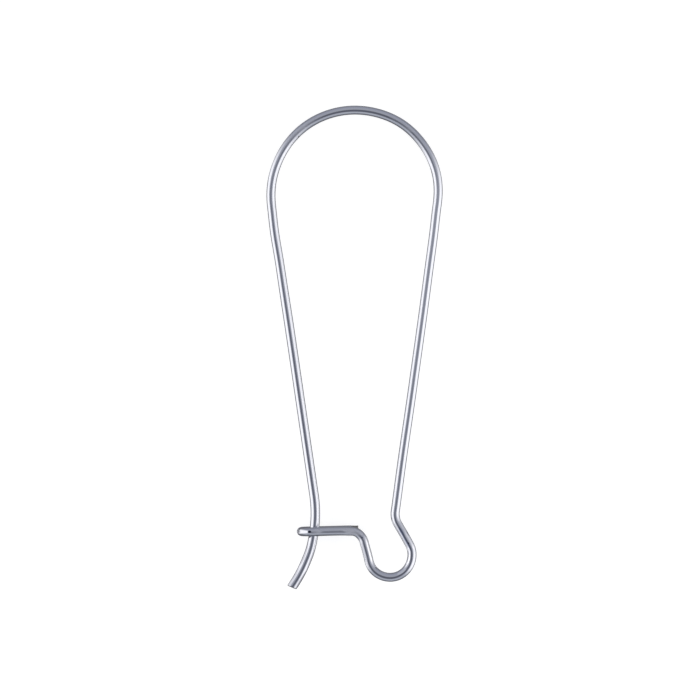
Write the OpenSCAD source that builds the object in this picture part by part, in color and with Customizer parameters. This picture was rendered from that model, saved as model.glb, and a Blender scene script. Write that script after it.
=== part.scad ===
// Kidney ear wire: one length of round wire, bent to a long narrow teardrop.
// It lies on its back on the plane z = 0, with the arch towards +Y and the tip towards -Y.
// The front leg ends in a hanging loop and a hairpin catch. The post is the other leg:
// it springs into the catch between the hairpin's two strands.
// Radii and lengths along the wire are measured at its centre line.
// A lean is an angle from straight down the teardrop.

/* [Wire] */
// Diameter of the wire
wire_d = 0.7; // [0.5:0.05:1]

/* [Arch] */
// Width across the outside of the arch that goes through the ear
arch_w = 13.9; // [11:0.1:20]

/* [Catch] */
// From the crest of the arch down to the catch
catch_drop = 33.1; // [22:0.1:45]
// From the middle line of the teardrop across to the post, at the catch
post_in = 3.2; // [2:0.1:5]
// Length of the front strand, from the hairpin bend to the shoulder
catch_len = 2.9; // [2:0.1:4.5]
// Length of the return strand behind it, up to its cut end
return_len = 3.4; // [2:0.1:4.5]
// Clearance between the post and each strand of the catch
post_clear = 0.3; // [0.15:0.05:0.6]

/* [Hanging loop] */
// Inside diameter of the loop that holds the drop
loop_bore = 2.75; // [1.8:0.05:4]
// Straight piece from the neck down into the loop
neck_run = 1.9; // [1:0.1:4]
// Lean of that piece, outwards
neck_lean = 29; // [15:1:45]
// Radius of the neck bend above it
neck_r = 1.55; // [1:0.05:3]
// Straight piece from the loop up to the shoulder
riser_run = 1.5; // [1:0.1:4]
// Lean of that piece, inwards
riser_lean = 14; // [5:1:30]
// Radius of the shoulder bend between the riser and the catch
shoulder_r = 1.05; // [0.8:0.05:2]

/* [Tip] */
// Radius of the outward curve at the end of the post
tip_r = 10; // [7:0.1:16]
// Lean of the post where it passes the catch, outwards
cross_lean = 8; // [0:1:15]
// Lean of the tip itself, outwards
tip_lean = 33; // [20:1:50]
// Straight piece up to the tip's cut end
tip_run = 0.4; // [0.2:0.1:4]

/* [Hidden] */

wire_sides = 48;
bend_sides = 120;

// The pins of a bend press the wire a hair thinner there, and each run laps back over the
// bend before it, so that the two meet at a true face.
press = 0.002;
lap = 0.02;

wire_r = wire_d / 2;
arch_r = arch_w / 2 - wire_r;
loop_r = loop_bore / 2 + wire_r;
hairpin_r = wire_d + post_clear;

// The wire lies on its crest and on the return strand. The front leg rises by the
// hairpin's width on its way to the catch, the post by half of it.
front_tilt = asin(2 * hairpin_r / catch_drop);
post_tilt = atan(hairpin_r / (catch_drop * cos(front_tilt)));

// Depth of the catch below the arch's centre, in the plane of each half
catch_y = catch_drop - arch_r;
cross_y = catch_drop * cos(front_tilt) / cos(post_tilt) - arch_r;

// Centres of the bends, as [distance from the middle line towards that leg's own side,
// depth below the arch's centre]. The front leg's are worked out back from the catch.
function along(lean, length) = length * [sin(lean), cos(lean)];
function across(lean, length) = length * [cos(lean), -sin(lean)];
shoulder_peg = [catch_len - post_in, catch_y + shoulder_r];
loop_peg = shoulder_peg + across(riser_lean, shoulder_r + loop_r) + along(riser_lean, riser_run);
neck_peg = loop_peg + across(neck_lean, loop_r + neck_r) - along(neck_lean, neck_run);
tip_peg = [post_in, cross_y] + across(cross_lean, tip_r);

// A leg runs straight from the outside of the arch to the inside of its peg's bend.
function leg_run(peg, peg_r) = sqrt(peg * peg - pow(arch_r + peg_r, 2));
function leg_lean(peg, peg_r) = atan2(peg[1], peg[0]) - atan2(leg_run(peg, peg_r), arch_r + peg_r);
front_run = leg_run(neck_peg, neck_r);
front_lean = leg_lean(neck_peg, neck_r);
post_run = leg_run(tip_peg, tip_r);
post_lean = leg_lean(tip_peg, tip_r);

// Each half as it is bent from the crest. A row is [feed, twist, radius, angle]: the straight
// run before a bend, the turn of the wire about itself that sets the bend's plane, and the
// bend's radius and angle.
front_bends = [
    [0, 180, arch_r, 90 + front_lean],
    [front_run, 180, neck_r, front_lean + neck_lean],
    [neck_run, 180, loop_r, 180 + neck_lean - riser_lean],
    [riser_run, 180, shoulder_r, 90 - riser_lean],
    [catch_len, -90 - front_tilt, hairpin_r, 180],
    [return_len, 0, 0, 0]
];
post_bends = [
    [0, 0, arch_r, 90 + post_lean],
    [post_run, 180, tip_r, post_lean + tip_lean],
    [tip_run, 0, 0, 0]
];

// How far the tip's corner and the hanging loop reach below the crest's centre, so that the
// middle of the whole length is at the origin
tip_reach = (arch_r + tip_peg[1] + tip_r * sin(tip_lean) + tip_run * cos(tip_lean)) * cos(post_tilt)
    + wire_r * sqrt(1 - pow(cos(tip_lean) * cos(post_tilt), 2));
loop_reach = (arch_r + loop_peg[1] + loop_r) * cos(front_tilt) + wire_r;
crest_y = (max(tip_reach, loop_reach) - wire_r) / 2;

// A straight run along +X
module run(length) {
    translate([-lap, 0, 0])
        rotate([0, 90, 0])
            cylinder(h = length + lap, d = wire_d, $fn = wire_sides);
}

// A bend that starts along +X and turns towards +Y
module bend(radius, angle) {
    translate([0, radius, 0])
        rotate([0, 0, -90])
            rotate_extrude(angle = angle, $fn = bend_sides)
                translate([radius, 0])
                    circle(d = wire_d - press, $fn = wire_sides);
}

// Lays one row of a list of bends, then carries on from its end with the rows after it
module bend_wire(bends, row = 0) {
    if (row < len(bends)) {
        feed = bends[row][0];
        twist = bends[row][1];
        radius = bends[row][2];
        angle = bends[row][3];
        if (feed > 0)
            run(feed);
        translate([feed, 0, 0])
            rotate([twist, 0, 0]) {
                if (angle > 0)
                    bend(radius, angle);
                translate([0, radius, 0])
                    rotate([0, 0, angle])
                        translate([0, -radius, 0])
                            bend_wire(bends, row + 1);
            }
    }
}

module ear_wire() {
    color("lightsteelblue")
        translate([0, crest_y, wire_r]) {
            rotate([-front_tilt, 0, 0])
                bend_wire(front_bends);
            rotate([-post_tilt, 0, 0])
                rotate([0, 0, 180])
                    bend_wire(post_bends);
        }
}

ear_wire();
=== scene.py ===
"""A kidney ear wire of polished steel, lying on a white table under two tall light panels."""
import math
from collections import namedtuple

import bpy
from mathutils import Matrix, Vector


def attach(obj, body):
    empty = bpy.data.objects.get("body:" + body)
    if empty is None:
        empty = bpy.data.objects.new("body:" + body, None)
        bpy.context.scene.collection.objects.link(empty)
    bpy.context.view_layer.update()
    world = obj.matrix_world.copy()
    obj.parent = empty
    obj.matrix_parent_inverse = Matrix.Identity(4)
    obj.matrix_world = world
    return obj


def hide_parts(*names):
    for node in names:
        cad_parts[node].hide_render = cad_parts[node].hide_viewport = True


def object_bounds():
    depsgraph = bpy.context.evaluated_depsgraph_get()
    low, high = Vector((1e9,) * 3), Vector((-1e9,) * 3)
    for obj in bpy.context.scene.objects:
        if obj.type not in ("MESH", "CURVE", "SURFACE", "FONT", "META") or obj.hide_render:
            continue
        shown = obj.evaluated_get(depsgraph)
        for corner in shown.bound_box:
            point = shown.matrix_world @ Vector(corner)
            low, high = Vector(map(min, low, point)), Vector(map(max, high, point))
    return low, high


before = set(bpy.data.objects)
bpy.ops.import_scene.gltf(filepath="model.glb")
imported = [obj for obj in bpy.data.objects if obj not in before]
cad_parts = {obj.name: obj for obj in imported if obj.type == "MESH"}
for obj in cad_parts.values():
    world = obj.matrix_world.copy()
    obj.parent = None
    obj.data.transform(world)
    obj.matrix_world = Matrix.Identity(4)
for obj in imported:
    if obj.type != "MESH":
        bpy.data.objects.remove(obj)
cad_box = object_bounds()

# A millimetre in metres, and half a turn in degrees
MM = 0.001
HALF_TURN = 180
UP = Vector((0, 0, 1))

# Sizes of the wire and of its bends, in millimetres and degrees, as in the part's source
wire_d = 0.7
arch_w = 13.9
catch_drop = 33.1
post_in = 3.2
catch_len = 2.9
return_len = 3.4
post_clear = 0.3
loop_bore = 2.75
neck_run = 1.9
neck_lean = 29
neck_r = 1.55
riser_run = 1.5
riser_lean = 14
shoulder_r = 1.05
tip_r = 10
cross_lean = 8
tip_lean = 33
tip_run = 0.4
press = 0.002

wire_r = wire_d / 2
arch_r = arch_w / 2 - wire_r
loop_r = loop_bore / 2 + wire_r
hairpin_r = wire_d + post_clear
crest_y = cad_box[1].y / MM - wire_r

# How finely the wire is divided: its sides, the widest step round a bend in degrees, and the
# longest step along it
wire_sides = 64
bend_step = 3
run_step = 0.12

# The rims of the cut ends: the tip's is filed round, so that it doesn't scratch the ear
tip_round = 0.05
cut_round = 0.03
rim_steps = 5

# The return strand and the post were cut this much too long, and the post out of square: by
# so many degrees, with its longer side facing this way. The skew fades over this much of it.
cut_over = 0.06
tip_over = 0.02
tip_slant = 10
tip_longer = (-1, 0, 0)
slant_fades = 0.5

# A straight feed, the turn of the wire about itself that sets the bend's plane, the bend's
# radius and its angle
Bend = namedtuple("Bend", "feed twist radius angle")

# A point of the centre line: its distance from the crest (less than 0 on the post), its
# place, and the way that the wire runs there
Station = namedtuple("Station", "at place way")

# The post is a little thicker than the rest of the wire: where, from the crest, that begins
# and is whole, and by what share of the girth
Swell = namedtuple("Swell", "begins whole share")
post_swells = [
    Swell(begins=15, whole=21, share=0.05),
    Swell(begins=37.6, whole=39.6, share=0.05),
]

# The wire was formed by hand tools, and strays this far from true, outwards from the
# teardrop's inside, in a bell round a place that is given from the crest
Stray = namedtuple("Stray", "at spread outwards")
strays = [
    Stray(at=-38.5, spread=0.8, outwards=-0.023),
    Stray(at=-17.0, spread=3.0, outwards=0.03),
    Stray(at=-13.4, spread=1.8, outwards=0.075),
    Stray(at=-7.8, spread=2.0, outwards=-0.035),
    Stray(at=3.8, spread=1.6, outwards=0.033),
    Stray(at=11.3, spread=2.0, outwards=-0.085),
    Stray(at=15.5, spread=3.0, outwards=-0.03),
    Stray(at=31.5, spread=3.5, outwards=-0.03),
    Stray(at=36.5, spread=0.8, outwards=-0.026),
    Stray(at=39.9, spread=1.2, outwards=-0.04),
    Stray(at=43.4, spread=0.7, outwards=0.019),
    Stray(at=44.65, spread=0.6, outwards=-0.012),
    Stray(at=46.0, spread=0.6, outwards=0.015),
    Stray(at=46.75, spread=0.3, outwards=-0.02),
    Stray(at=47.35, spread=0.3, outwards=0.013),
    Stray(at=48.8, spread=1.8, outwards=-0.025),
    Stray(at=56.47, spread=0.36, outwards=-0.027),
]

# The catch slopes by so many degrees, about the place where it crosses the level, and no
# further than its hairpin. The shoulder takes the slope up between two places along the wire.
catch_slope = 1.4
level_x = -2.3
hairpin_x = -3.6
slope_from = 46.3
slope_to = 47.6

# Flats that the pliers left: the depth pressed in, on the side that faces a given way
Flat = namedtuple("Flat", "at spread depth side")
flats = [
    Flat(at=37.5, spread=0.14, depth=0.03, side=(0.87, 0.48, 0.3)),
    Flat(at=43.35, spread=0.2, depth=0.035, side=(0.6, 0.55, 0.45)),
]


def along(lean, length):
    a = math.radians(lean)
    return Vector((math.sin(a), math.cos(a))) * length


def across(lean, length):
    a = math.radians(lean)
    return Vector((math.cos(a), -math.sin(a))) * length


def leg(peg, peg_r):
    """Length and lean of the straight leg from the arch to a peg's bend."""
    reach = math.sqrt(peg.length_squared - (arch_r + peg_r) ** 2)
    lean = math.atan2(peg.y, peg.x) - math.atan2(reach, arch_r + peg_r)
    return reach, math.degrees(lean)


def halves():
    """The bends of the front half and of the post, and how far each half tilts off the table."""
    front_tilt = math.degrees(math.asin(2 * hairpin_r / catch_drop))
    level = catch_drop * math.cos(math.radians(front_tilt))
    post_tilt = math.degrees(math.atan(hairpin_r / level))
    cross_y = level / math.cos(math.radians(post_tilt)) - arch_r

    shoulder = Vector((catch_len - post_in, catch_drop - arch_r + shoulder_r))
    loop = shoulder + across(riser_lean, shoulder_r + loop_r) + along(riser_lean, riser_run)
    neck = loop + across(neck_lean, loop_r + neck_r) - along(neck_lean, neck_run)
    tip = Vector((post_in, cross_y)) + across(cross_lean, tip_r)

    front_run, front_lean = leg(neck, neck_r)
    post_run, post_lean = leg(tip, tip_r)
    front = [
        Bend(0, 180, arch_r, 90 + front_lean),
        Bend(front_run, 180, neck_r, front_lean + neck_lean),
        Bend(neck_run, 180, loop_r, 180 + neck_lean - riser_lean),
        Bend(riser_run, 180, shoulder_r, 90 - riser_lean),
        Bend(catch_len, -90 - front_tilt, hairpin_r, 180),
        Bend(return_len + cut_over, 0, 0, 0),
    ]
    post = [
        Bend(0, 0, arch_r, 90 + post_lean),
        Bend(post_run, 180, tip_r, post_lean + tip_lean),
        Bend(tip_run + tip_over, 0, 0, 0),
    ]
    return front, front_tilt, post, post_tilt


def turn(angle, axis):
    return Matrix.Rotation(math.radians(angle), 4, axis)


def walk(bends, start):
    """Stations along one half. In start, the wire runs along X and its bends turn towards Y."""
    stations = []
    at = 0
    here = start.copy()

    stations.append(Station(at, here.translation.copy(), here.col[0].xyz))
    for bend in bends:
        steps = math.ceil(bend.feed / run_step)
        for _ in range(steps):
            here = here @ Matrix.Translation((bend.feed / steps, 0, 0))
            at += bend.feed / steps
            stations.append(Station(at, here.translation.copy(), here.col[0].xyz))
        here = here @ turn(bend.twist, "X")
        if bend.angle:
            arc = math.radians(bend.angle) * bend.radius
            steps = max(math.ceil(bend.angle / bend_step), math.ceil(arc / run_step))
            peg = Matrix.Translation((0, bend.radius, 0))
            one = peg @ turn(bend.angle / steps, "Z") @ peg.inverted()
            for _ in range(steps):
                here = here @ one
                at += arc / steps
                stations.append(Station(at, here.translation.copy(), here.col[0].xyz))
    return stations


def bell(at, centre, spread):
    return math.exp(-(((at - centre) / spread) ** 2))


def centre_line():
    """Stations of the whole wire, from the tip over the crest to the return strand's cut end."""
    front, front_tilt, post, post_tilt = halves()
    crest = Matrix.Translation((0, crest_y, wire_r))
    front_half = walk(front, crest @ turn(-front_tilt, "X"))
    post_half = walk(post, crest @ turn(-post_tilt, "X") @ turn(180, "Z"))
    whole = [s._replace(at=-s.at, way=-s.way) for s in reversed(post_half)] + front_half[1:]

    strayed = []
    for s in whole:
        outwards = UP.cross(s.way).normalized()
        aside = sum(bell(s.at, x.at, x.spread) * x.outwards for x in strays)
        run = max(s.place.x, hairpin_x) - level_x
        rise = math.tan(math.radians(catch_slope)) * run * smooth(s.at, slope_from, slope_to)
        strayed.append(s._replace(place=s.place + outwards * aside + Vector((0, rise, 0))))
    return strayed


def smooth(value, start, whole):
    share = min(max((value - start) / (whole - start), 0), 1)
    return share * share * (3 - 2 * share)


def girth_at(s):
    """The wire's girth at a station, as a share of the drawn wire's."""
    return 1 + sum(swell.share * smooth(-s.at, swell.begins, swell.whole) for swell in post_swells)


def rim(end, inwards, rim_round):
    """Stations from the flat of a cut end to the full wire, each with its share of the girth."""
    rows = []
    for k in range(rim_steps + 1):
        angle = math.pi / 2 * k / rim_steps
        shift = inwards * rim_round * (1 - math.cos(angle))
        girth = 1 - rim_round / wire_r * (1 - math.sin(angle))
        moved = end._replace(at=end.at + shift, place=end.place + end.way * shift)
        rows.append((moved, girth * girth_at(end)))
    return rows


def press_at(s):
    """The flat pressed in at a station, as a vector towards the side that it faces."""
    pressed = (Vector(f.side).normalized() * (f.depth * bell(s.at, f.at, f.spread)) for f in flats)
    return sum(pressed, Vector()) * MM


def slant_at(s, first):
    """How far the tip's cut is skewed at a station, as a vector towards its longer side."""
    side = Vector(tip_longer)
    side = (side - s.way * side.dot(s.way)).normalized()
    share = smooth(s.at, first.at + slant_fades, first.at + tip_round)
    return side * (-math.tan(math.radians(tip_slant)) * share)


def path_object(stations):
    """The centre line as a mesh of edges, in metres, with what the sweep needs at each point."""
    first, last = stations[0], stations[-1]
    begins, ends = first.at + tip_round, last.at - cut_round
    between = [(s, girth_at(s)) for s in stations if begins < s.at < ends]
    rows = rim(first, 1, tip_round) + between + rim(last, -1, cut_round)[::-1]
    edges = [(i, i + 1) for i in range(len(rows) - 1)]

    mesh = bpy.data.meshes.new("centre_line")
    mesh.from_pydata([s.place * MM for s, _ in rows], edges, [])
    values = {
        "girth": [girth for _, girth in rows],
        "at": [s.at * MM for s, _ in rows],
        "press": [press_at(s) for s, _ in rows],
        "way": [s.way for s, _ in rows],
        "slant": [slant_at(s, first) for s, _ in rows],
    }
    for name, column in values.items():
        if isinstance(column[0], Vector):
            numbers = [number for vector in column for number in vector]
            mesh.attributes.new(name, "FLOAT_VECTOR", "POINT").data.foreach_set("vector", numbers)
        else:
            mesh.attributes.new(name, "FLOAT", "POINT").data.foreach_set("value", column)
    path = bpy.data.objects.new("centre_line", mesh)
    bpy.context.scene.collection.objects.link(path)
    return path


class Tree:
    """A node tree that is written from its inputs towards its output."""

    def __init__(self, tree):
        self.tree = tree

    def add(self, kind, *inputs, out=None, **settings):
        """Adds a node and gives the output that is named, or its first.

        Inputs are links or values in the sockets' order, or pairs of a socket's name and one.
        """
        made = self.tree.nodes.new(kind)
        for key, value in settings.items():
            setattr(made, key, value)
        for place, given in enumerate(inputs):
            socket = made.inputs[place]
            if isinstance(given, tuple) and isinstance(given[0], str):
                socket = next(s for s in made.inputs if s.name == given[0] and s.enabled)
                given = given[1]
            if isinstance(given, bpy.types.NodeSocket):
                self.tree.links.new(given, socket)
            elif given is not None:
                socket.default_value = given
        if out:
            return made.outputs[out]
        return next((s for s in made.outputs if s.enabled), made)

    def math(self, operation, *inputs):
        return self.add("ShaderNodeMath", *inputs, operation=operation)

    def vector(self, operation, *inputs):
        """A vector, or for a dot product or a length, a number."""
        return self.add("ShaderNodeVectorMath", *inputs, operation=operation)

    def mix(self, factor, first, second):
        """A colour from first to second as factor goes from 0 to 1."""
        a, b = (
            given if isinstance(given, bpy.types.NodeSocket) else (*given, 1)
            for given in (first, second)
        )
        return self.add("ShaderNodeMix", ("Factor", factor), ("A", a), ("B", b), data_type="RGBA")

    def ramp(self, value, stops):
        """A colour by how far down one looks: 0 is straight overhead and 1 straight below."""
        made = self.tree.nodes.new("ShaderNodeValToRGB")
        self.tree.links.new(value, made.inputs["Fac"])
        bands = made.color_ramp.elements
        while len(bands) < len(stops):
            bands.new(1)
        for band, tone in zip(bands, stops):
            band.position = tone.down / HALF_TURN
            band.color = (*tone.colour, 1)
        return made.outputs["Color"]

    def link(self, value, socket):
        self.tree.links.new(value, socket)

    def smooth(self, value, start, whole, to=1.0):
        """Goes softly from 0 to the last value as the first goes from start to whole."""
        return self.add(
            "ShaderNodeMapRange", value, start, whole, 0.0, to, interpolation_type="SMOOTHSTEP",
        )

    def scale(self, vector, factor):
        return self.vector("SCALE", vector, ("Scale", factor))

    def attribute(self, name, kind):
        return self.add("GeometryNodeInputNamedAttribute", ("Name", name), data_type=kind)

    def store(self, geometry, name, value, kind, domain="POINT"):
        return self.add(
            "GeometryNodeStoreNamedAttribute", geometry, ("Name", name), ("Value", value),
            data_type=kind, domain=domain,
        )


def drawn_wire_tree():
    """Sweeps a round wire along a path of edges, presses its flats, and closes its ends."""
    tree = bpy.data.node_groups.new("drawn_wire", "GeometryNodeTree")
    face = tree.interface
    face.new_socket("Geometry", in_out="INPUT", socket_type="NodeSocketGeometry")
    face.new_socket("Wire diameter", in_out="INPUT", socket_type="NodeSocketFloat")
    face.new_socket("Sides", in_out="INPUT", socket_type="NodeSocketInt")
    face.new_socket("Material", in_out="INPUT", socket_type="NodeSocketMaterial")
    face.new_socket("Geometry", in_out="OUTPUT", socket_type="NodeSocketGeometry")
    t = Tree(tree)
    given = tree.nodes.new("NodeGroupInput").outputs
    radius = t.math("DIVIDE", given["Wire diameter"], 2.0)

    path = t.store(given["Geometry"], "centre", t.add("GeometryNodeInputPosition"), "FLOAT_VECTOR")
    path = t.add("GeometryNodeMeshToCurve", path)
    ring = t.add("GeometryNodeCurvePrimitiveCircle", ("Resolution", given["Sides"]), ("Radius", radius))
    ring = t.store(ring, "section", t.add("GeometryNodeInputPosition"), "FLOAT_VECTOR")
    wire = t.add(
        "GeometryNodeCurveToMesh", path, ring,
        ("Scale", t.attribute("girth", "FLOAT")), ("Fill Caps", True),
    )

    # The pliers press a flat
    centre = t.attribute("centre", "FLOAT_VECTOR")
    spoke = t.vector("SUBTRACT", t.add("GeometryNodeInputPosition"), centre)
    pliers = t.attribute("press", "FLOAT_VECTOR")
    facing = t.vector("NORMALIZE", pliers)
    depth = t.vector("LENGTH", pliers)
    reach = t.vector("DOT_PRODUCT", spoke, facing)
    over = t.math("MAXIMUM", t.math("SUBTRACT", reach, t.math("SUBTRACT", radius, depth)), 0.0)
    pressed = t.scale(facing, t.math("MULTIPLY", over, -1.0))
    wire = t.add("GeometryNodeSetPosition", wire, ("Offset", pressed))

    # The cutter slants an end
    longer = t.vector("DOT_PRODUCT", spoke, t.attribute("slant", "FLOAT_VECTOR"))
    slanted = t.scale(t.attribute("way", "FLOAT_VECTOR"), longer)
    wire = t.add("GeometryNodeSetPosition", wire, ("Offset", slanted))

    # Where each point was on the straight wire, for the die's marks
    section = t.add("ShaderNodeSeparateXYZ", t.attribute("section", "FLOAT_VECTOR")).node.outputs
    drawn = t.add("ShaderNodeCombineXYZ", section["X"], section["Y"], t.attribute("at", "FLOAT"))
    wire = t.store(wire, "drawn", drawn, "FLOAT_VECTOR")

    wire = t.add("GeometryNodeSetShadeSmooth", wire, ("Shade Smooth", True))
    wire = t.add("GeometryNodeRealizeInstances", wire)
    wire = t.add("GeometryNodeSetMaterial", wire, ("Material", given["Material"]))
    t.add("NodeGroupOutput", wire)
    return tree


def set_input(modifier, name, value):
    tree = modifier.node_group
    socket = next(s for s in tree.interface.items_tree if s.name == name and s.in_out == "INPUT")
    modifier[socket.identifier] = value


def swept(name, path, material):
    """The drawn wire along a path, as a plain mesh object."""
    sweep = path.modifiers.new("drawn_wire", "NODES")
    sweep.node_group = drawn_wire_tree()
    set_input(sweep, "Wire diameter", (wire_d - press) * MM)
    set_input(sweep, "Sides", wire_sides)
    set_input(sweep, "Material", material)
    bpy.context.view_layer.update()
    evaluated = path.evaluated_get(bpy.context.evaluated_depsgraph_get())
    mesh = bpy.data.meshes.new_from_object(evaluated)
    mesh.name = name
    path.modifiers.remove(sweep)
    bpy.data.objects.remove(path)
    piece = bpy.data.objects.new(name, mesh)
    bpy.context.scene.collection.objects.link(piece)
    return piece


# Spots and painted light on the steel, round a place on the wire's surface, on the side that faces a
# given way:
# how far they reach round the wire and along it, and the steel's tone there. The ones noted below are
# painted shade, painted shadow, painted highlights and painted dark reflections, which stand in for
# reflections and shade that the studio's plain panels don't give; the rest are spots and patches.
# They can be left out to show the part in another light.
SpotOrPaintedLight = namedtuple("SpotOrPaintedLight", "at side round along tone")
spots_and_painted_light = [
    SpotOrPaintedLight(at=50.29, side=(0, 0.05, 1), round=0.1, along=0.14, tone=(0.03, 0.035, 0.06)),
    # The next two: painted shade that rounds the hairpin's highlight at its corners
    SpotOrPaintedLight(at=51.1, side=(-0.77, 0.47, 0.42), round=0.07, along=0.07, tone=(0.3, 0.3, 0.32)),
    SpotOrPaintedLight(at=51.17, side=(-0.78, -0.52, 0.36), round=0.07, along=0.07, tone=(0.3, 0.3, 0.32)),
    # Painted shade along the catch's lower edge
    SpotOrPaintedLight(at=49.2, side=(0, -0.81, 0.59), round=0.085, along=1.7, tone=(0.32, 0.33, 0.35)),
    # Painted shadow of the catch, on its lower edge where it crosses the post
    SpotOrPaintedLight(at=50.38, side=(0, -0.95, 0.3), round=0.11, along=0.11, tone=(0.1, 0.1, 0.12)),
    SpotOrPaintedLight(at=-5.12, side=(0.60, -0.60, 0.53), round=0.07, along=0.07, tone=(0.06, 0.06, 0.06)),
    SpotOrPaintedLight(at=-37.56, side=(-0.78, 0, 0.63), round=0.13, along=0.13, tone=(0.09, 0.09, 0.11)),
    # The next four: painted shade on both flanks of the tip
    SpotOrPaintedLight(at=-39.1, side=(-0.82, 0.35, 0.45), round=0.18, along=1.0, tone=(0.42, 0.42, 0.45)),
    SpotOrPaintedLight(at=-40.7, side=(-0.75, 0.48, 0.45), round=0.16, along=0.65, tone=(0.50, 0.50, 0.54)),
    SpotOrPaintedLight(at=-39.3, side=(0.84, -0.36, 0.42), round=0.18, along=1.0, tone=(0.34, 0.34, 0.37)),
    SpotOrPaintedLight(at=-41.0, side=(0.76, -0.49, 0.42), round=0.18, along=1.0, tone=(0.28, 0.28, 0.31)),
    # The next three: a bluish painted dark reflection across the neck, and a painted highlight beside
    # it
    SpotOrPaintedLight(at=37.2, side=(-0.14, -0.07, 1), round=0.12, along=0.4, tone=(0.40, 0.43, 0.53)),
    SpotOrPaintedLight(at=38.1, side=(-0.29, -0.16, 0.94), round=0.075, along=0.8, tone=(0.31, 0.33, 0.41)),
    SpotOrPaintedLight(at=38.1, side=(0.37, 0.21, 0.9), round=0.12, along=0.8, tone=(0.80, 0.80, 0.82)),
    SpotOrPaintedLight(at=38.28, side=(0, 0, 1), round=0.05, along=0.07, tone=(0.20, 0.20, 0.25)),
    # The next three: a painted dark reflection line along the top of the loop
    SpotOrPaintedLight(at=39.45, side=(-0.18, 0.02, 0.98), round=0.08, along=0.45, tone=(0.44, 0.44, 0.48)),
    SpotOrPaintedLight(at=40.2, side=(-0.14, 0.08, 0.99), round=0.07, along=0.4, tone=(0.46, 0.46, 0.50)),
    SpotOrPaintedLight(at=40.9, side=(-0.08, 0.11, 0.99), round=0.06, along=0.4, tone=(0.46, 0.46, 0.50)),
    # The next three: painted highlights on the loop
    SpotOrPaintedLight(at=39.6, side=(-0.6, 0.13, 0.79), round=0.09, along=0.35, tone=(0.84, 0.84, 0.86)),
    SpotOrPaintedLight(at=40.2, side=(-0.48, 0.29, 0.83), round=0.12, along=0.35, tone=(0.84, 0.84, 0.86)),
    SpotOrPaintedLight(at=40.9, side=(-0.29, 0.41, 0.87), round=0.14, along=0.4, tone=(0.84, 0.84, 0.86)),
    SpotOrPaintedLight(at=40.5, side=(0.65, -0.58, 0.5), round=0.07, along=0.07, tone=(0.15, 0.15, 0.18)),
    SpotOrPaintedLight(at=43.45, side=(0.60, 0.53, 0.6), round=0.07, along=0.07, tone=(0.1, 0.1, 0.12)),
    # The next two: painted shade over the riser's left highlight
    SpotOrPaintedLight(at=44.2, side=(-0.42, -0.1, 0.9), round=0.09, along=0.6, tone=(0.46, 0.46, 0.49)),
    SpotOrPaintedLight(at=45.1, side=(-0.5, -0.12, 0.86), round=0.12, along=0.8, tone=(0.40, 0.41, 0.45)),
    # Painted highlight along the riser's right side
    SpotOrPaintedLight(at=44.9, side=(0.6, 0.15, 0.78), round=0.1, along=0.9, tone=(0.85, 0.85, 0.86)),
    SpotOrPaintedLight(at=46.12, side=(0.1, 0, 1), round=0.07, along=0.07, tone=(0.3, 0.32, 0.4)),
    SpotOrPaintedLight(at=56.35, side=(0, 0.7, 0.7), round=0.28, along=0.28, tone=(0.36, 0.34, 0.30)),
]

# Places where the steel mirrors less sharply: rougher by so much
DullPlace = namedtuple("DullPlace", "at side round along rougher")
dull_places = [
    DullPlace(at=-9.6, side=(0, 0, 1), round=0.25, along=1.8, rougher=0.06),
    DullPlace(at=-5.2, side=(0, 0, 1), round=0.25, along=1.4, rougher=0.1),
    DullPlace(at=-4.4, side=(0, 0, 1), round=0.25, along=1.4, rougher=0.1),
    DullPlace(at=-3.6, side=(0, 0, 1), round=0.25, along=1.4, rougher=0.1),
    DullPlace(at=3.9, side=(0, 0, 1), round=0.25, along=1.2, rougher=0.15),
    DullPlace(at=5.6, side=(0, 0, 1), round=0.25, along=1.3, rougher=0.08),
    DullPlace(at=46.9, side=(0, 0, 1), round=0.25, along=0.9, rougher=0.3),
    DullPlace(at=49.9, side=(0, 0, 1), round=0.2, along=0.5, rougher=0.25),
    DullPlace(at=48.4, side=(0, 0, 1), round=1.5, along=1.5, rougher=0.2),
    DullPlace(at=51.5, side=(-1, 0, 0), round=0.42, along=0.42, rougher=0.35),
]

# The soft edge of a spot, a painted highlight or shade, or a dull place: where it starts and where it
# is whole, as shares of its reach
region_starts = 1.25
region_whole = 0.75

# The steel's own two tones, in soft patches along the wire, and a dark tone painted on its cut ends as
# shade
clean_steel = ((0.60, 0.61, 0.65), (0.66, 0.66, 0.69))
cut_end_shade = (0.13, 0.13, 0.12)
raw_reach = 0.08
raw_rougher = 0.3

# The die's fine lines and the patches of tone: how often they change across the wire and along
# it, in a metre, and how finely they break up
Grain = namedtuple("Grain", "across along detail")
die_lines = Grain(across=22000, along=350, detail=3.0)
tone_patches = Grain(across=900, along=260, detail=4.0)

# The die's lines range the roughness between two values, as their noise goes between two
# others, and stand up by so many metres
die_range = (0.3, 0.7)
polish_range = (0.08, 0.16)
line_strength = 0.15
line_height = 0.000002


def inside_region(t, here, stations, region):
    """1 inside a spot, a painted highlight or shade, or a dull place, and 0 outside it, with a soft
    edge.
    """
    nearest = min(stations, key=lambda s: abs(s.at - region.at))
    side = Vector(region.side)
    side = (side - nearest.way * side.dot(nearest.way)).normalized()
    place = (nearest.place + side * wire_r) * MM
    away = t.vector("SUBTRACT", here, tuple(place))
    if region.along > region.round:
        over = t.vector("DOT_PRODUCT", away, tuple(nearest.way))
        shorter = t.math("MULTIPLY", over, region.round / region.along - 1)
        away = t.vector("MULTIPLY_ADD", tuple(nearest.way), shorter, away)
    reach = region.round * MM
    return t.smooth(t.vector("LENGTH", away), region_starts * reach, region_whole * reach)


def grain(t, drawn, size):
    scale = (size.across, size.across, size.along)
    place = t.add("ShaderNodeMapping", drawn, ("Scale", scale))
    return t.add("ShaderNodeTexNoise", ("Vector", place), ("Scale", 1.0), ("Detail", size.detail))


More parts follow.
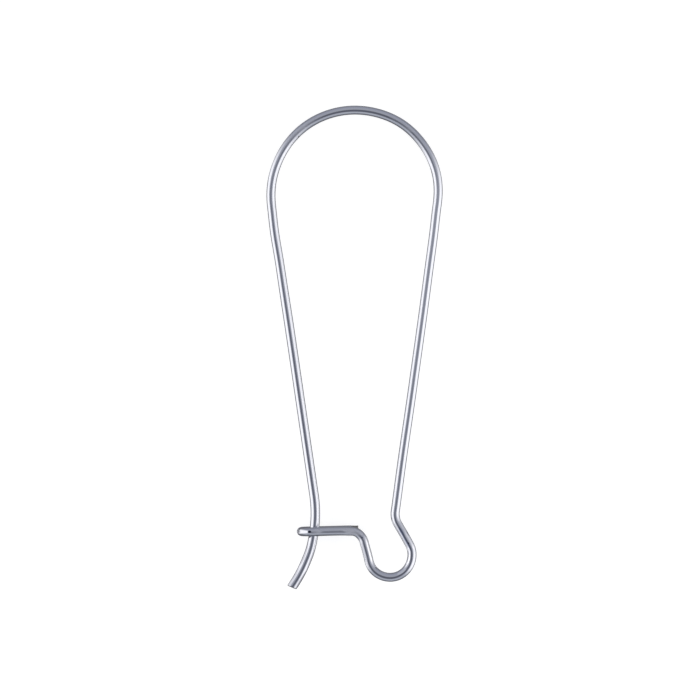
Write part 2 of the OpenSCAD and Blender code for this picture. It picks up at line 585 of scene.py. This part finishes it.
def polished_steel(stations):
    """Bright drawn steel, with this wire's spots, painted highlights and painted shade, dull places,
    and raw cut ends painted dark as shade.
    """
    material = bpy.data.materials.new("polished_steel")
    material.use_nodes = True
    t = Tree(material.node_tree)
    shader = material.node_tree.nodes["Principled BSDF"]
    shader.inputs["Metallic"].default_value = 1.0

    here = t.add("ShaderNodeTexCoord", out="Object")
    drawn = t.add("ShaderNodeAttribute", attribute_name="drawn", out="Vector")
    die = grain(t, drawn, die_lines)
    patches = grain(t, drawn, tone_patches)

    # The cutter's faces and their rims are left raw and rougher, and are painted dark as shade
    along_wire = t.add("ShaderNodeSeparateXYZ", drawn, out="Z")
    tip, cut = stations[0].at * MM, stations[-1].at * MM
    at_tip = t.smooth(along_wire, tip + raw_reach * MM, tip + raw_reach / 2 * MM)
    at_cut = t.smooth(along_wire, cut - raw_reach * MM, cut - raw_reach / 2 * MM)
    cut_ends = t.math("MAXIMUM", at_tip, at_cut)

    tone = t.mix(patches, *clean_steel)
    tone = t.mix(cut_ends, tone, cut_end_shade)
    # Spots, painted highlights and painted shade over the steel's tone
    for region in spots_and_painted_light:
        tone = t.mix(inside_region(t, here, stations, region), tone, region.tone)
    t.link(tone, shader.inputs["Base Color"])

    rough = t.add("ShaderNodeMapRange", die, *die_range, *polish_range)
    rough = t.math("MULTIPLY_ADD", cut_ends, raw_rougher, rough)
    for dull in dull_places:
        rough = t.math("MULTIPLY_ADD", inside_region(t, here, stations, dull), dull.rougher, rough)
    t.link(rough, shader.inputs["Roughness"])
    ridges = t.add(
        "ShaderNodeBump", ("Strength", line_strength), ("Distance", line_height), ("Height", die),
    )
    t.link(ridges, shader.inputs["Normal"])
    return material


def table_top():
    """A white table that is lit from within, so that its shadows are as faint as in the photo."""
    table_reach = 3.0
    table_grey = 0.35
    table_glow = 0.78

    material = bpy.data.materials.new("white_table")
    material.use_nodes = True
    shader = material.node_tree.nodes["Principled BSDF"]
    shader.inputs["Base Color"].default_value = (table_grey, table_grey, table_grey, 1)
    shader.inputs["Roughness"].default_value = 1.0
    shader.inputs["Specular IOR Level"].default_value = 0.0
    shader.inputs["Emission Color"].default_value = (*white, 1)
    shader.inputs["Emission Strength"].default_value = table_glow
    mesh = bpy.data.meshes.new("table_top")
    signs = ((-1, -1), (1, -1), (1, 1), (-1, 1))
    corners = [(x * table_reach, y * table_reach, 0) for x, y in signs]
    mesh.from_pydata(corners, [], [(0, 1, 2, 3)])
    mesh.materials.append(material)
    floor = bpy.data.objects.new("table_top", mesh)
    bpy.context.scene.collection.objects.link(floor)
    floor.visible_glossy = False
    floor.visible_shadow = False


white = (1.0, 1.0, 1.0)

# The studio as the wire mirrors it, with 1 as white. An angle down is from straight overhead,
# and an angle aside is from the X axis towards +Y.
Tone = namedtuple("Tone", "down colour")
room_behind = [
    Tone(25, (0.48, 0.50, 0.56)),
    Tone(60, (0.45, 0.47, 0.56)),
    Tone(80, (0.39, 0.41, 0.49)),
    Tone(100, (0.33, 0.35, 0.40)),
    Tone(120, (0.30, 0.31, 0.35)),
    Tone(140, (0.18, 0.18, 0.20)),
]
room_in_front = [
    Tone(35, (0.42, 0.44, 0.51)),
    Tone(60, (0.60, 0.63, 0.71)),
    Tone(80, (0.56, 0.59, 0.66)),
    Tone(100, (0.34, 0.36, 0.40)),
    Tone(120, (0.15, 0.16, 0.18)),
    Tone(140, (0.12, 0.12, 0.14)),
]
panel_glow = [
    Tone(90, (1.54, 1.54, 1.57)),
    Tone(105, (1.40, 1.40, 1.43)),
    Tone(120, (0.42, 0.43, 0.45)),
    Tone(130, (0.17, 0.17, 0.18)),
    Tone(140, (0.07, 0.07, 0.075)),
]

# A panel's edges in front, at the back and on top: where it starts and where it is whole.
# The first two are angles aside, the last is its height over its distance. Towards its front
# and its back, between two angles aside, its foot reaches lower by some degrees.
Panel = namedtuple("Panel", "front back top front_foot back_foot")
right_panel = Panel(front=(-57, -23), back=(46, 3), top=(1.36, 1.24), front_foot=4, back_foot=12)
left_panel = Panel(front=(-47, -13), back=(50, 17), top=(1.10, 0.98), front_foot=20, back_foot=14)
foot_from = math.radians(9)
foot_to = math.radians(22)

# The room behind gives way to the room in front between these two, as shares of the way back
room_turns = 0.25
room_turned = -0.35

# The dark camera overhead, a little in front: how far it leans aside and forwards from straight
# up, and how far from its middle its soft edge starts and is whole, in degrees
camera_aside = 5
camera_ahead = 17
camera_starts = 31
camera_whole = 20
camera_tone = (0.15, 0.16, 0.20)

# The least distance aside that a height or an angle is taken over, so that nothing divides by 0
least_x = 0.001

# A round lamp that lights the table alone
lamp_width = 0.8
lamp_height = 0.9
lamp_watts = 2


def degrees_tangent(angle):
    return math.tan(math.radians(angle))


def degrees_cosine(angle):
    return math.cos(math.radians(angle))


def studio():
    """What the wire mirrors: the room, a tall light panel on either side, and the camera."""
    world = bpy.data.worlds.new("studio")
    bpy.context.scene.world = world
    world.use_nodes = True
    world.node_tree.nodes.clear()
    t = Tree(world.node_tree)

    direction = t.add("ShaderNodeTexCoord", out="Generated")
    parts = t.add("ShaderNodeSeparateXYZ", direction).node.outputs
    x, y, z = parts["X"], parts["Y"], parts["Z"]
    far = t.math("MAXIMUM", t.math("ABSOLUTE", x), least_x)
    aside = t.math("ARCTAN2", y, far)
    height = t.math("DIVIDE", z, far)
    down = t.math("DIVIDE", t.math("ARCCOSINE", z), math.pi)

    behind = t.ramp(down, room_behind)
    in_front = t.ramp(down, room_in_front)
    front = t.smooth(y, room_turns, room_turned)
    seen = t.mix(front, behind, in_front)

    on_right = t.math("GREATER_THAN", x, 0.0)
    on_left = t.math("SUBTRACT", 1.0, on_right)
    for side, panel in ((on_right, right_panel), (on_left, left_panel)):
        foot = t.math(
            "ADD",
            t.smooth(aside, -foot_from, -foot_to, panel.front_foot / HALF_TURN),
            t.smooth(aside, foot_from, foot_to, panel.back_foot / HALF_TURN),
        )
        glow = t.ramp(t.math("SUBTRACT", down, foot), panel_glow)
        front_edge = t.smooth(aside, *(math.radians(angle) for angle in panel.front))
        back_edge = t.smooth(aside, *(math.radians(angle) for angle in panel.back))
        top_edge = t.smooth(height, *panel.top)
        whole = t.math("MULTIPLY", t.math("MULTIPLY", front_edge, back_edge), top_edge)
        seen = t.mix(t.math("MULTIPLY", whole, side), seen, glow)

    camera_way = Vector((-degrees_tangent(camera_aside), -degrees_tangent(camera_ahead), 1))
    facing = t.vector("DOT_PRODUCT", direction, tuple(camera_way.normalized()))
    patch = t.smooth(facing, degrees_cosine(camera_starts), degrees_cosine(camera_whole))
    seen = t.mix(patch, seen, camera_tone)

    # Behind the table, the picture itself is white
    seen = t.mix(t.add("ShaderNodeLightPath", out="Is Camera Ray"), seen, white)
    t.add("ShaderNodeOutputWorld", t.add("ShaderNodeBackground", seen))


def table_light():
    light = bpy.data.lights.new("table_light", "AREA")
    light.shape = "DISK"
    light.size = lamp_width
    light.energy = lamp_watts
    lamp = bpy.data.objects.new("table_light", light)
    lamp.location = (0, 0, lamp_height)
    lamp.visible_glossy = False
    lamp.visible_camera = False
    bpy.context.scene.collection.objects.link(lamp)


def photo_camera():
    """Straight above the wire, as the photograph was taken."""
    height = 300
    view_width = 55.02
    centre_x = -0.388
    below_crest = 18.856
    data = bpy.data.cameras.new("camera")
    data.lens = data.sensor_width * (height - wire_r) / view_width
    data.clip_start = 0.01
    data.clip_end = 10
    camera = bpy.data.objects.new("camera", data)
    camera.location = Vector((centre_x, crest_y - below_crest, height)) * MM
    bpy.context.scene.collection.objects.link(camera)
    bpy.context.scene.camera = camera
    bpy.context.scene.view_settings.view_transform = "Standard"


stations = centre_line()
piece = swept("bent_wire", path_object(stations), polished_steel(stations))
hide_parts("ear_wire")
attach(piece, "root")
table_top()
studio()
table_light()
photo_camera()
